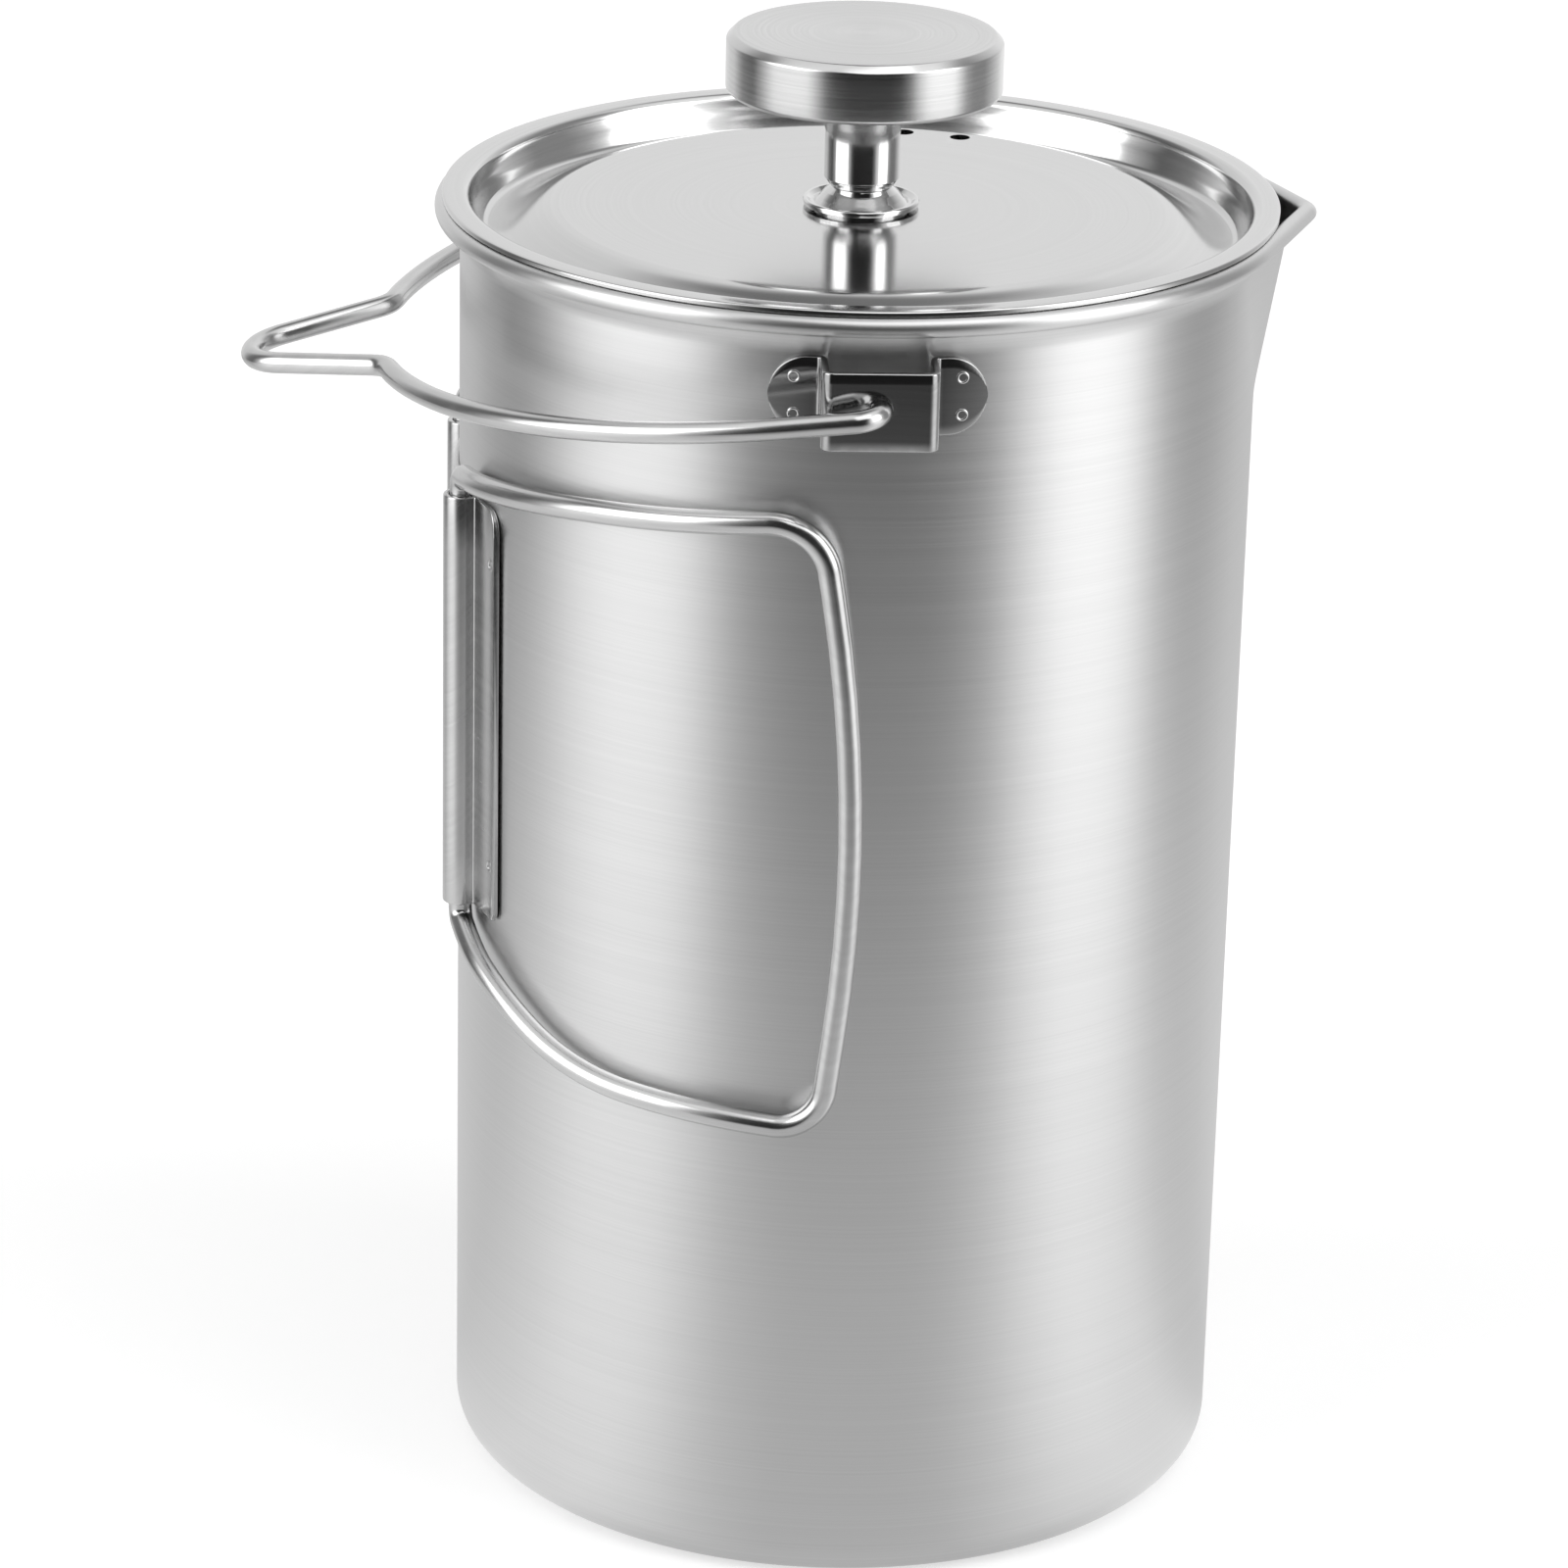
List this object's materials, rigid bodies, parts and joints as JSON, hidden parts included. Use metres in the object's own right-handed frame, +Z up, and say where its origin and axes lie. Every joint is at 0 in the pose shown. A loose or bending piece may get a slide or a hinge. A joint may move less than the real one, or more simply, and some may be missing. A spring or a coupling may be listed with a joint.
{
  "type": "camp coffee press pot",
  "caption": "Steel camp coffee pot with a pouring lip, dished lid, plunger with a spring-edged filter, swing bail and folding wire side handles.",
  "frame": {"origin": "centre of the base's underside, where the pot's axis meets the surface it stands on", "axes": "+Z up along the pot's axis, +X towards the pouring lip, bail pivots on +Y and -Y, side handles hinged at -X"},
  "size_m": [0.1342, 0.1238, 0.1883],
  "materials": {
    "pot_steel": "satin, brushed round the wall",
    "lid_steel": "satin with soft reflections",
    "knob_steel": "satin, turned",
    "bracket_steel": "polished stainless sheet",
    "wire_steel": "polished stainless wire",
    "bright_steel": "polished stainless",
    "filter_steel": "plain rolled stainless",
    "screen_steel": "fine woven wire"
  },
  "bodies": {
    "pot": {"pot_body": "pot_steel", "bail_bracket_front": "bracket_steel", "bail_bracket_rear": "bracket_steel", "handle_hinge_plate": "bracket_steel"},
    "bail": {"bail_handle": "wire_steel"},
    "handle_front": {"side_handle_front": "wire_steel"},
    "handle_rear": {"side_handle_rear": "wire_steel"},
    "lid": {"lid_shell": "lid_steel", "rod_guide": "bright_steel", "guide_washer": "filter_steel", "guide_nut": "filter_steel"},
    "plunger": {"knob": "knob_steel", "knob_neck": "bright_steel", "plunger_rod": "bright_steel", "rod_collar": "filter_steel", "spring_plate": "filter_steel", "edge_spring": "wire_steel", "filter_screen": "screen_steel", "cross_plate": "filter_steel", "cross_hub": "filter_steel"}
  },
  "joints": [
    {"name": "bail_swing", "type": "hinge", "parent": "pot", "child": "bail", "pos_m": [0, 0, 0.1576], "axis": [0, 1, 0], "range_deg": [-10, 207]},
    {"name": "handle_front_swing", "type": "hinge", "parent": "pot", "child": "handle_front", "pos_m": [-0.04944, -0.01512, 0.106], "axis": [0, 0, -1], "range_deg": [0, 146]},
    {"name": "handle_rear_swing", "type": "hinge", "parent": "pot", "child": "handle_rear", "pos_m": [-0.04944, 0.01512, 0.106], "axis": [0, 0, 1], "range_deg": [0, 146]},
    {"name": "lid_lift", "type": "slide", "parent": "pot", "child": "lid", "axis": [0, 0, 1], "range_m": [0, 0.175]},
    {"name": "plunger_slide", "type": "slide", "parent": "lid", "child": "plunger", "axis": [0, 0, 1], "range_m": [0, 0.148]}
  ]
}
